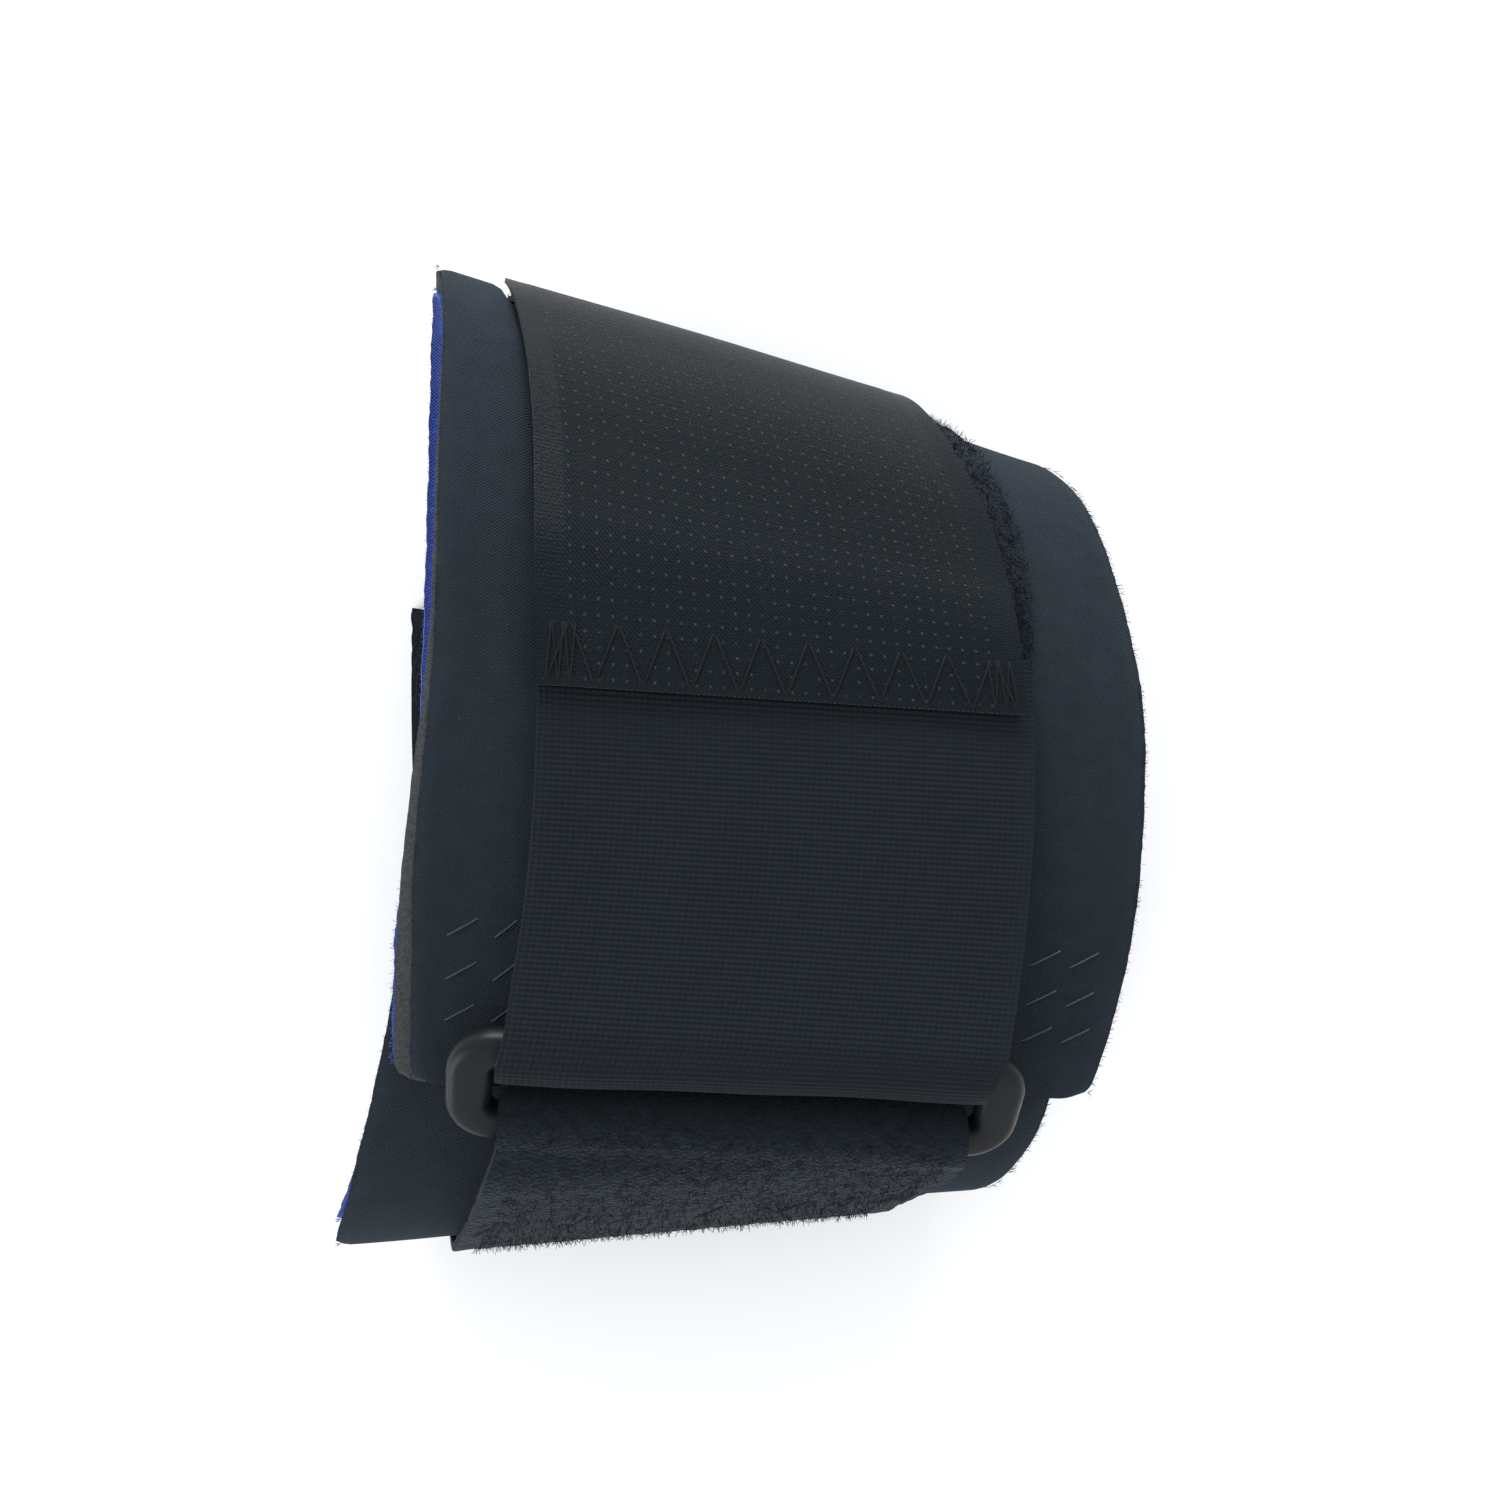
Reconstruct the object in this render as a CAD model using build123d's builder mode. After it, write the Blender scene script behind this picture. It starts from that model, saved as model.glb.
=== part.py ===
"""Wrist support brace: a tapered neoprene cuff closed by a threaded elastic strap.

The cuff is one neoprene sheet rolled about one and a fifth turns. A plastic ring hangs in a fold of
pile webbing sewn round the cuff's underside. The elastic strap is sewn to the cuff's outer end, runs
through the ring, doubles back over the cuff and ends in hook tape that grips the pile patch.

Row frame, in millimetres: the cuff lies on its back. +X runs from the forearm end to the hand end,
+Y across the back of the wrist and +Z up. The origin is in the flat face that it rests on.
Turns are degrees round the cuff: 0 at the middle of the top, 90 at the ring side, 180 underneath,
270 at the far side, 360 at the middle of the top again, one layer further out.
"""

import os
from math import cos, floor, radians, sin

from build123d import *

# Middle of everything in x and y, which becomes the frame's origin
MIDDLE_X, MIDDLE_Y = -2.65, -0.68

# Cuff shape. Each pair is (value at x = 0, change per millimetre of x), so every side line is straight.
CENTRE_Y = (-4.7, -0.123)
HALF_WIDTH = (49.2, -0.194)
TOP_HEIGHT = (22.0, -0.06)
BACK_HEIGHT = (20.0, -0.06)
BACK_CLEARANCE = 1.3  # from the table up to the sheet's outer face, underneath
BACK_SQUARENESS = 0.35  # 0 gives an elliptical back, more gives a flatter one

# Neoprene sheet
FACE_THICKNESS = 0.4
FOAM_THICKNESS = 2.1
LINING_THICKNESS = 0.35
LAMINATE_GAP = 0.1
SHEET_THICKNESS = FACE_THICKNESS + FOAM_THICKNESS + LINING_THICKNESS + 2 * LAMINATE_GAP
OVERLAP_DROP = SHEET_THICKNESS + 0.35  # how far the inner end lies below the outer one
OVERLAP_LEAVES, OVERLAP_JOINS = 42, 95  # turns over which the inner layer rises to the outer one
SHEET_START, SHEET_END = -15, 397.5
SHEET_SKEW = [(375, 0), (397.5, -6)]  # the outer end is cut a little off square
SHEET_LEFT = [(-15, -33), (20, -36), (40, -39.6), (58, -43.2), (90, -47.5), (135, -45), (180, -42.6),
              (225, -40.4), (270, -36.4), (300, -33.3), (321, -32.5), (348, -32.4), (375, -34.7),
              (400, -36.1)]
SHEET_RIGHT = [(-15, 36), (20, 35), (50, 33.4), (60, 32.2), (80, 28.8), (92, 27.2), (135, 28.8),
               (200, 31), (270, 34.5), (305, 38.9), (335, 41.9), (350, 42.1), (376, 40.6), (404, 36.9)]

# Ring
RING_LENGTH, RING_HEIGHT, RING_THICKNESS = 60.0, 14.0, 3.0
RING_BAR, RING_SIDE, RING_CORNER, RING_SLOT_CORNER, RING_EDGE = 4.1, 4.7, 5.0, 1.6, 1.25
UPPER_BAR_TURN, UPPER_BAR_SKEW, UPPER_BAR_LIFT = 31.3, 3.7, 4.4
RING_MIDDLE_X = -0.5
LOWER_BAR_TURN, LOWER_BAR_LIFT = 44, 2.2
BAR_SPACING = RING_HEIGHT - RING_BAR

# Elastic strap, hook tape and pile. A skew is how many turns sooner a strip's right edge comes.
STRAP_LEFT = [(396, -25.3), (384, -23.7), (372, -22.0), (358, -21.2), (342, -21.2), (320, -22.3),
              (304, -24.0), (285, -26.8), (262, -30), (250, -31.5)]
STRAP_RIGHT = [(396, 25.0), (384, 27.0), (370, 28.6), (350, 29.5), (335, 29.0), (318, 27.2),
               (304, 24.3), (288, 20.9), (270, 17.4), (245, 12.9)]
STRAP_SKEW = [(391, -3.1), (386, -2.8), (351, 6), (342, 6), (336, 5), (318, 0), (240, 0)]
STRAP_HEIGHT = [(393, 6.8), (389.5, 6.7), (384, 5.2), (377, 3.6), (368, 2.4), (355, 1.75), (240, 1.75)]
ELASTIC_THICKNESS = 1.2
ELASTIC_WIDTH = 50.0
ELASTIC_START, ELASTIC_END = 389.9, 343
ANCHOR_RUN_START, ANCHOR_RUN_END = 366, 384.6
TAPE_THICKNESS = 0.7
TAPE_START, TAPE_HINGE, TAPE_END = 351, 304, 251
TAIL_LEFT_END = 277  # the tail is cut square, so its left edge stops sooner
TAPE_HEIGHT = [(351, 3.3), (334, 3.3), (322, 2.1), (240, 2.1)]
TAPE_NARROWER = 1.0  # how much narrower the tape is than the elastic
HOOKS_START = 336
HOOKS_THICKNESS = 0.55
HOOKS_GAP = 0.12  # between the tape and the hooks
HOOKS_MARGIN = 2.6  # plain selvedge at each side of the hooks
HINGE_GAP = 0.35

PILE_THICKNESS = 0.9
SEWN_GAP = 0.2  # between the sheet and what is sewn flat on it
PATCH_START, PATCH_END = 345, 240
PATCH_LEFT = [(345, -20.4), (310, -21.6), (285, -25.6), (262, -29.2), (240, -31)]
PATCH_RIGHT = [(345, 29.4), (322, 29.6), (305, 27.8), (292, 25.3), (277, 21.8), (235, 12.9)]

WEBBING_THICKNESS = 1.4
WEBBING_START, WEBBING_END = 46, 198
WEBBING_LEFT = [(45, -26.4), (58, -29.4), (75, -32.6), (90, -34.6), (120, -38.8), (150, -42.6),
                (180, -44.2), (198, -44.2)]
WEBBING_RIGHT = [(45, 23.4), (54, 22.2), (65, 18.6), (78, 16.4), (90, 15.6), (120, 11.8), (150, 8.2),
                 (180, 6.6), (198, 6.6)]
WEBBING_SKEW = [(46, -3.1), (52, -2.2), (63, 0), (198, 0)]
WEBBING_HEIGHT = [(46, 4.3), (49, 4.1), (53, 3.1), (58, 2.0), (65, 0.7), (75, -0.3), (84, -0.1), (92, 0.1),
                  (198, 0.1)]
FOLD_BORE = 2.35  # radius inside the folds that hold the ring's bars
WEBBING_FOLD_THICKNESS = 1.05
RETURN_START, RETURN_END = 51, 71  # where the webbing's folded end lies, under the main run
RETURN_THICKNESS = 1.1
RETURN_GAP = 0.12

# Stitching
THREAD = 0.35
STITCH_LIFT = 0.12
TAPE_SEAM, WEBBING_SEAM = 347.3, 65  # turns of the rows across
ANCHOR_ROWS = ((-29.2, 1.8), (-24.9, 1.3), (31.2, 1.9), (35.4, 1.8))  # middle in x and half width

STATION_STEP = 9
SQUARE = [(0, 0), (360, 0)]  # no skew: cross lines follow the cuff's own straight lines


def at_turn(keys, turn):
    """The value at a turn, on a smooth line through hand-set (turn, value) keys."""
    keys = sorted(keys)
    turn = min(max(turn, keys[0][0]), keys[-1][0])
    last = max(i for i, key in enumerate(keys[:-1]) if key[0] <= turn)
    (t0, v0), (t1, v1) = keys[last], keys[last + 1]
    slope = (v1 - v0) / (t1 - t0)
    slope_in = slope if last == 0 else (v1 - keys[last - 1][1]) / (t1 - keys[last - 1][0])
    slope_out = slope if last + 2 == len(keys) else (keys[last + 2][1] - v0) / (keys[last + 2][0] - t0)
    s, span = (turn - t0) / (t1 - t0), t1 - t0
    return (
        v0 * (1 + 2 * s) * (1 - s) ** 2
        + v1 * (3 - 2 * s) * s**2
        + slope_in * span * s * (1 - s) ** 2
        - slope_out * span * (1 - s) * s**2
    )


def linear(pair, x):
    return pair[0] + pair[1] * x


def oval_height(cosine, x):
    """Height of the sheet's outer face above its widest level."""
    if cosine >= 0:
        return linear(TOP_HEIGHT, x) * cosine
    squared = cosine * (1 + BACK_SQUARENESS - BACK_SQUARENESS * cosine**2)
    return linear(BACK_HEIGHT, x) * squared


def cuff_point(turn, x, lift=0.0):
    """A point lift millimetres outside the sheet's outer face."""
    angle = radians(turn)
    widest_level = BACK_CLEARANCE + linear(BACK_HEIGHT, x)
    y = linear(CENTRE_Y, x) - linear(HALF_WIDTH, x) * sin(angle)
    point = Vector(x - MIDDLE_X, y - MIDDLE_Y, widest_level + oval_height(cos(angle), x))
    return point + outward(turn, x) * lift


def outward(turn, x):
    """Unit normal of the cuff's section at a turn."""
    ahead, behind = (
        Vector(0, -linear(HALF_WIDTH, x) * sin(radians(t)), oval_height(cos(radians(t)), x))
        for t in (turn + 0.5, turn - 0.5)
    )
    along = (ahead - behind).normalized()
    return Vector(0, along.Z, -along.Y)


def overlap_lift(turn):
    """How far the sheet's outer face lies from the cuff's outline: below it where the ends overlap."""
    share = min(max((turn - OVERLAP_LEAVES) / (OVERLAP_JOINS - OVERLAP_LEAVES), 0), 1)
    return -OVERLAP_DROP * (1 - share**2 * (3 - 2 * share))


def turns(start, end):
    """Stations from start to end, at every whole step between them."""
    low, high = min(start, end), max(start, end)
    inner = [STATION_STEP * k for k in range(floor(low / STATION_STEP), floor(high / STATION_STEP) + 1)]
    stations = [low] + [t for t in inner if low + 3 < t < high - 3] + [high]
    return stations if start < end else stations[::-1]


def station_plane(left, right, turn):
    """Plane across a ribbon: x along its width, y outwards. Returns the plane and the width."""
    across = (right - left).normalized()
    middle = (left + right) * 0.5
    normal = outward(turn, middle.X)
    normal = (normal - across * normal.dot(across)).normalized()
    return Plane(origin=middle, x_dir=across, z_dir=across.cross(normal)), (right - left).length


def skewed(keys, turn):
    """The turn at a strip's right edge, for the cross line that starts at this turn on its left."""
    return turn - at_turn(keys, turn)


def strip_sections(stations, left_keys, right_keys, middle_lift, skew_keys=SQUARE, margins=(0, 0)):
    """(plane, width) across a strip of cloth on the cuff, at each station.

    middle_lift(turn) is the height of the middle of the strip's thickness. margins narrow the strip at
    its left and its right.
    """
    sections = []
    for turn in stations:
        right_turn = skewed(skew_keys, turn)
        left_x = at_turn(left_keys, turn) + margins[0]
        right_x = at_turn(right_keys, right_turn) - margins[1]
        left = cuff_point(turn, left_x, middle_lift(turn))
        right = cuff_point(right_turn, right_x, middle_lift(right_turn))
        sections.append(station_plane(left, right, (turn + right_turn) / 2))
    return sections


def strokes(points):
    """(plane, length) of the thread between neighbouring points, clear of the next at both ends."""
    found = []
    for start, end in zip(points, points[1:]):
        along = end - start
        found.append((Plane(origin=start + along * 0.06, z_dir=along), along.length * 0.88))
    return found


def row_across(turn, left_keys, right_keys, lift, count, height, skew_keys=SQUARE, margins=(0.8, 0.8)):
    """Points of a zigzag row across a strip: count strokes, each height turns tall."""
    left = at_turn(left_keys, turn) + margins[0]
    right = at_turn(right_keys, skewed(skew_keys, turn)) - margins[1]
    points = []
    for i in range(count + 1):
        share = i / count
        level = turn - share * at_turn(skew_keys, turn) + (height / 2 if i % 2 else -height / 2)
        points.append(cuff_point(level, left + share * (right - left), lift(level)))
    return points


def row_along(first, last, middle, half_width, lift, count):
    """Points of a zigzag row along the wrap, about the line middle(turn)."""
    points = []
    for i in range(count + 1):
        turn = first + (last - first) * i / count
        points.append(cuff_point(turn, middle(turn) + (half_width if i % 2 else -half_width), lift))
    return points


os.makedirs("parts", exist_ok=True)

# ---- Neoprene sheet: black face fabric, foam and blue lining, laminated ----
sheet_layers = {
    "face_fabric": (FACE_THICKNESS / 2, FACE_THICKNESS),
    "foam_core": (FACE_THICKNESS + LAMINATE_GAP + FOAM_THICKNESS / 2, FOAM_THICKNESS),
    "lining_fabric": (SHEET_THICKNESS - LINING_THICKNESS / 2, LINING_THICKNESS),
}
for name, (depth, thickness) in sheet_layers.items():
    sheet_sections = strip_sections(
        turns(SHEET_START, SHEET_END),
        SHEET_LEFT,
        SHEET_RIGHT,
        lambda turn: overlap_lift(turn) - depth,
        SHEET_SKEW,
    )
    with BuildPart() as layer:
        for plane, width in sheet_sections:
            with BuildSketch(plane):
                Rectangle(width, thickness)
        loft()
    layer.part.label = name
    export_step(layer.part, f"parts/{name}.step")

# ---- Ring: a moulded plastic loop with rounded bars ----
upper_bar = cuff_point(UPPER_BAR_TURN, RING_MIDDLE_X, UPPER_BAR_LIFT)
ring_left, ring_right = (
    cuff_point(UPPER_BAR_TURN + side * UPPER_BAR_SKEW / 2, side * RING_LENGTH / 2, UPPER_BAR_LIFT)
    for side in (-1, 1)
)
ring_along = (ring_right - ring_left).normalized()
lower_guess = cuff_point(LOWER_BAR_TURN, RING_MIDDLE_X, LOWER_BAR_LIFT)
ring_up = upper_bar - lower_guess
ring_up = (ring_up - ring_along * ring_up.dot(ring_along)).normalized()
lower_bar = upper_bar - ring_up * BAR_SPACING
ring_plane = Plane(
    origin=(upper_bar + lower_bar) * 0.5, x_dir=ring_along, z_dir=ring_along.cross(ring_up)
)

with BuildPart() as ring:
    with BuildSketch(ring_plane):
        RectangleRounded(RING_LENGTH, RING_HEIGHT, RING_CORNER)
        RectangleRounded(
            RING_LENGTH - 2 * RING_SIDE, RING_HEIGHT - 2 * RING_BAR, RING_SLOT_CORNER, mode=Mode.SUBTRACT
        )
    extrude(amount=RING_THICKNESS / 2, both=True)
    fillet(faces().filter_by(ring_plane).edges(), RING_EDGE)
ring.part.label = "ring"
export_step(ring.part, "parts/ring.step")

# ---- Folds of cloth round the ring's bars: arcs of constant thickness, as wide as the cloth ----
# Angles go round each bar from up the ring, towards the strap, through outwards.
folds = {
    "elastic_fold": (upper_bar, ELASTIC_THICKNESS, ELASTIC_WIDTH, 125, 262),
    "webbing_fold": (lower_bar, WEBBING_FOLD_THICKNESS, ELASTIC_WIDTH - 1, -95, 112),
}
for name, (bar, thickness, width, start_angle, end_angle) in folds.items():
    with BuildPart() as fold:
        with BuildSketch(Plane(origin=bar, x_dir=ring_up, z_dir=ring_along * -1)):
            with BuildLine():
                inner = CenterArc((0, 0), FOLD_BORE, start_angle, end_angle - start_angle)
                outer = CenterArc((0, 0), FOLD_BORE + thickness, start_angle, end_angle - start_angle)
                Line(inner @ 0, outer @ 0)
                Line(inner @ 1, outer @ 1)
            make_face()
        extrude(amount=width / 2, both=True)
    fold.part.label = name
    export_step(fold.part, f"parts/{name}.step")

# ---- Elastic strap: its sewn start, and the run that shows ----
anchor_sections = strip_sections(
    turns(ANCHOR_RUN_START, ANCHOR_RUN_END),
    STRAP_LEFT,
    STRAP_RIGHT,
    lambda turn: SEWN_GAP + ELASTIC_THICKNESS / 2,
)
with BuildPart() as elastic_anchor:
    for plane, width in anchor_sections:
        with BuildSketch(plane):
            Rectangle(width, ELASTIC_THICKNESS)
    loft()
elastic_anchor.part.label = "elastic_anchor"
export_step(elastic_anchor.part, "parts/elastic_anchor.step")

strap_sections = strip_sections(
    [ELASTIC_START, 386.5, 382.5] + turns(378, ELASTIC_END),
    STRAP_LEFT,
    STRAP_RIGHT,
    lambda turn: at_turn(STRAP_HEIGHT, turn) + ELASTIC_THICKNESS / 2,
    STRAP_SKEW,
)
with BuildPart() as elastic_strap:
    for plane, width in strap_sections:
        with BuildSketch(plane):
            Rectangle(width, ELASTIC_THICKNESS)
    loft()
elastic_strap.part.label = "elastic_strap"
export_step(elastic_strap.part, "parts/elastic_strap.step")

# ---- Hook tape: the woven tape, and the field of hooks under it, split at the peel line ----
tail_left = cuff_point(TAIL_LEFT_END, at_turn(STRAP_LEFT, TAIL_LEFT_END), TAPE_HEIGHT[-1][1])
tail_right = cuff_point(TAPE_END + 1, at_turn(STRAP_RIGHT, TAPE_END + 1), TAPE_HEIGHT[-1][1])
tail_across = (tail_right - tail_left).normalized()
tail_along = tail_across.cross(outward((TAIL_LEFT_END + TAPE_END) / 2, 0)).normalized()
hinge_turns = HINGE_GAP / 0.6
selvedge = (HOOKS_MARGIN, HOOKS_MARGIN + TAPE_NARROWER)
hooks_drop = HOOKS_GAP + HOOKS_THICKNESS / 2
# name: (first turn, last turn, middle above the tape's inner face, thickness, margins, cut before the end)
tape_layers = {
    "hook_tape_front": (TAPE_START, TAPE_HINGE + hinge_turns, TAPE_THICKNESS / 2, TAPE_THICKNESS,
                        (0, TAPE_NARROWER), 0),
    "hook_tape_tail": (TAPE_HINGE - hinge_turns, TAPE_END, TAPE_THICKNESS / 2, TAPE_THICKNESS,
                       (0, TAPE_NARROWER), 0),
    "hooks_front": (HOOKS_START, TAPE_HINGE + 2 * hinge_turns, -hooks_drop, HOOKS_THICKNESS, selvedge, 1),
    "hooks_tail": (TAPE_HINGE - 2 * hinge_turns, TAPE_END, -hooks_drop, HOOKS_THICKNESS, selvedge, 1),
}
for name, (first, last, middle, thickness, margins, inset) in tape_layers.items():
    tape_sections = strip_sections(
        turns(first, last),
        STRAP_LEFT,
        STRAP_RIGHT,
        lambda turn: at_turn(TAPE_HEIGHT, turn) + middle,
        STRAP_SKEW,
        margins,
    )
    with BuildPart() as tape:
        for plane, width in tape_sections:
            with BuildSketch(plane):
                Rectangle(width, thickness)
        loft()
        # The tail is cut square, so what lies past its end is taken off.
        split(
            bisect_by=Plane(origin=tail_left - tail_along * inset, x_dir=tail_across, z_dir=tail_along),
            keep=Keep.BOTTOM,
        )
    tape.part.label = name
    export_step(tape.part, f"parts/{name}.step")

# ---- Pile patch that the hooks grip ----
patch_sections = strip_sections(
    turns(PATCH_START, PATCH_END),
    PATCH_LEFT,
    PATCH_RIGHT,
    lambda turn: SEWN_GAP + PILE_THICKNESS / 2,
    STRAP_SKEW,
)
with BuildPart() as pile_patch:
    for plane, width in patch_sections:
        with BuildSketch(plane):
            Rectangle(width, PILE_THICKNESS)
    loft()
pile_patch.part.label = "pile_patch"
export_step(pile_patch.part, "parts/pile_patch.step")

# ---- Pile webbing: the main run, cut flat where it rests, and its folded end on the flap ----
webbing_sections = strip_sections(
    [WEBBING_START, 49.5, 53, 58] + turns(63, WEBBING_END),
    WEBBING_LEFT,
    WEBBING_RIGHT,
    lambda turn: at_turn(WEBBING_HEIGHT, turn) + WEBBING_THICKNESS / 2,
    WEBBING_SKEW,
)
with BuildPart() as webbing:
    for plane, width in webbing_sections:
        with BuildSketch(plane):
            Rectangle(width, WEBBING_THICKNESS)
    loft()
    split(bisect_by=Plane.XY, keep=Keep.TOP)
webbing.part.label = "webbing"
export_step(webbing.part, "parts/webbing.step")

return_sections = strip_sections(
    turns(RETURN_START, RETURN_END),
    WEBBING_LEFT,
    WEBBING_RIGHT,
    lambda turn: overlap_lift(turn) + RETURN_GAP + RETURN_THICKNESS / 2,
    margins=(0.5, 0.5),
)
with BuildPart() as webbing_return:
    for plane, width in return_sections:
        with BuildSketch(plane):
            Rectangle(width, RETURN_THICKNESS)
    loft()
webbing_return.part.label = "webbing_return"
export_step(webbing_return.part, "parts/webbing_return.step")

# ---- Stitching: zigzag rows of thread, each stroke a separate length on the cloth ----
thread_lift = STITCH_LIFT + THREAD / 2
anchor_points = [
    row_along(374, 389, lambda turn: middle - 0.06 * (turn - 380), half_width, thread_lift, 6)
    for middle, half_width in ANCHOR_ROWS
]
tape_points = row_across(
    TAPE_SEAM,
    STRAP_LEFT,
    STRAP_RIGHT,
    lambda turn: at_turn(TAPE_HEIGHT, turn) + TAPE_THICKNESS + thread_lift,
    20,
    7.0,
    STRAP_SKEW,
    (0.8, 2),
)
webbing_points = row_across(
    WEBBING_SEAM,
    WEBBING_LEFT,
    WEBBING_RIGHT,
    lambda turn: at_turn(WEBBING_HEIGHT, turn) + WEBBING_THICKNESS + thread_lift,
    20,
    7,
)
stitching = {
    "tape_stitches": [tape_points],
    "anchor_stitches": anchor_points,
    "webbing_stitches": [webbing_points],
}
for name, rows in stitching.items():
    with BuildPart() as stitches:
        for points in rows:
            for plane, length in strokes(points):
                with BuildSketch(plane):
                    Rectangle(THREAD, THREAD)
                extrude(amount=length)
    stitches.part.label = name
    export_step(stitches.part, f"parts/{name}.step")
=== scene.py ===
from math import cos, pi, radians, sin

import bpy
import numpy as np
from mathutils import Matrix, Vector


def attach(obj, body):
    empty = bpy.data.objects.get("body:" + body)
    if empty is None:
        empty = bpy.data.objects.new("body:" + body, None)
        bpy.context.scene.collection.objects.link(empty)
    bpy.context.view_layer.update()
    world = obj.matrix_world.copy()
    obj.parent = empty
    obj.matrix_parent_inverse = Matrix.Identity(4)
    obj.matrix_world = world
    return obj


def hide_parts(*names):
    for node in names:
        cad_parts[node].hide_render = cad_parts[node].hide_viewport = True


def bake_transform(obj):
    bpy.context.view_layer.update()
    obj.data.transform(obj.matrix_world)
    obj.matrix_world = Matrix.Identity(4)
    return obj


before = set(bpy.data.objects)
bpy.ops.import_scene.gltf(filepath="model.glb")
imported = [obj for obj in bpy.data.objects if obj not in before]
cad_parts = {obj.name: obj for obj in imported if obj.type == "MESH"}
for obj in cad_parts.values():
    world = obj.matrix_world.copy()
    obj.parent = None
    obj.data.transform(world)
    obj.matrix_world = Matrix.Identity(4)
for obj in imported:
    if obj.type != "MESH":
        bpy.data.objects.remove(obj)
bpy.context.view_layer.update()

MM = 0.001

# ---------------------------------------------------------------------------------------------------
# The cuff's form, in millimetres and in turns: degrees round the cuff, 0 and 360 at the middle of the
# top, 90 at the ring side, 180 underneath. Pairs are (value at x = 0, change per millimetre of x).
MIDDLE_X, MIDDLE_Y = -2.65, -0.68
CENTRE_Y = (-4.7, -0.123)
HALF_WIDTH = (49.2, -0.194)
TOP_HEIGHT = (22.0, -0.06)
BACK_HEIGHT = (20.0, -0.06)
BACK_CLEARANCE = 1.3
BACK_SQUARENESS = 0.35

FACE, FOAM, LINING, LAMINATE_GAP = 0.4, 2.1, 0.35, 0.1
SHEET = FACE + FOAM + LINING + 2 * LAMINATE_GAP
OVERLAP_DROP = SHEET + 0.35
OVERLAP_LEAVES, OVERLAP_JOINS = 42, 95
SHEET_START, SHEET_END = -15, 397.5
SHEET_SKEW = [(375, 0), (397.5, -6)]
SHEET_LEFT = [(-15, -33), (20, -36), (40, -39.6), (58, -43.2), (90, -47.5), (135, -45), (180, -42.6),
              (225, -40.4), (270, -36.4), (300, -33.3), (321, -32.5), (348, -32.4), (375, -34.7),
              (400, -36.1)]
SHEET_RIGHT = [(-15, 36), (20, 35), (50, 33.4), (60, 32.2), (80, 28.8), (92, 27.2), (135, 28.8),
               (200, 31), (270, 34.5), (305, 38.9), (335, 41.9), (350, 42.1), (376, 40.6), (404, 36.9)]

RING_LENGTH, RING_HEIGHT, RING_THICKNESS = 60.0, 14.0, 3.0
RING_BAR, RING_SIDE, RING_CORNER, RING_EDGE = 4.1, 4.7, 5.0, 1.25
UPPER_BAR_TURN, UPPER_BAR_SKEW, UPPER_BAR_LIFT = 31.3, 3.7, 4.4
RING_MIDDLE_X = -0.5
LOWER_BAR_TURN, LOWER_BAR_LIFT = 44, 2.2
BAR_SPACING = RING_HEIGHT - RING_BAR

STRAP_LEFT = [(396, -25.3), (384, -23.7), (372, -22.0), (358, -21.2), (342, -21.2), (320, -22.3),
              (304, -24.0), (285, -26.8), (262, -30), (250, -31.5)]
STRAP_RIGHT = [(396, 25.0), (384, 27.0), (370, 28.6), (350, 29.5), (335, 29.0), (318, 27.2),
               (304, 24.3), (288, 20.9), (270, 17.4), (245, 12.9)]
STRAP_SKEW = [(391, -3.1), (386, -2.8), (351, 6), (342, 6), (336, 5), (318, 0), (240, 0)]
STRAP_HEIGHT = [(393, 6.8), (389.5, 6.7), (384, 5.2), (377, 3.6), (368, 2.4), (355, 1.75), (240, 1.75)]
ELASTIC, ELASTIC_HALF_WIDTH = 1.2, 25.0
TAPE = 0.7
TAPE_HINGE, TAPE_LEFT_END, TAPE_RIGHT_END = 304, 277, 252
TAPE_HEIGHT = [(351, 3.3), (334, 3.3), (322, 2.1), (240, 2.1)]
TAPE_NARROWER = 1.0
HOOK_HEIGHT, HOOK_MARGIN = 0.62, 2.6

SEWN_GAP = 0.2
PATCH_BACKING = 0.55
PATCH_LEFT = [(345, -20.4), (310, -21.6), (285, -25.6), (262, -29.2), (240, -31)]
PATCH_RIGHT = [(345, 29.4), (322, 29.6), (305, 27.8), (292, 25.3), (277, 21.8), (235, 12.9)]
WEBBING, FOLD_BORE = 1.3, 2.35
WEBBING_FOLD_TURN = 48.5
WEBBING_LEFT = [(45, -26.4), (58, -29.4), (75, -32.6), (90, -34.6), (120, -38.8), (150, -42.6),
                (180, -44.2), (198, -44.2)]
WEBBING_RIGHT = [(45, 23.4), (54, 22.2), (65, 18.6), (78, 16.4), (90, 15.6), (120, 11.8), (150, 8.2),
                 (180, 6.6), (198, 6.6)]
WEBBING_SKEW = [(46, -3.1), (52, -2.2), (63, 0), (198, 0)]
WEBBING_HEIGHT = [(46, 4.3), (49, 4.1), (53, 3.1), (58, 2.0), (65, 0.7), (75, -0.3), (84, -0.1), (92, 0.1),
                  (198, 0.1)]

# The strap draws the cuff in below its tail: depth, and the turns and places it fades over
CINCH_DEPTH = 1.6
CINCH_TURNS = [(232, 0), (250, 0.5), (272, 1), (296, 1), (318, 0.45), (336, 0)]
CINCH_X = [(-24, 1), (14, 0)]
CINCH_EDGE = [(-0.9, 0), (0.3, 1)]

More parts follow.
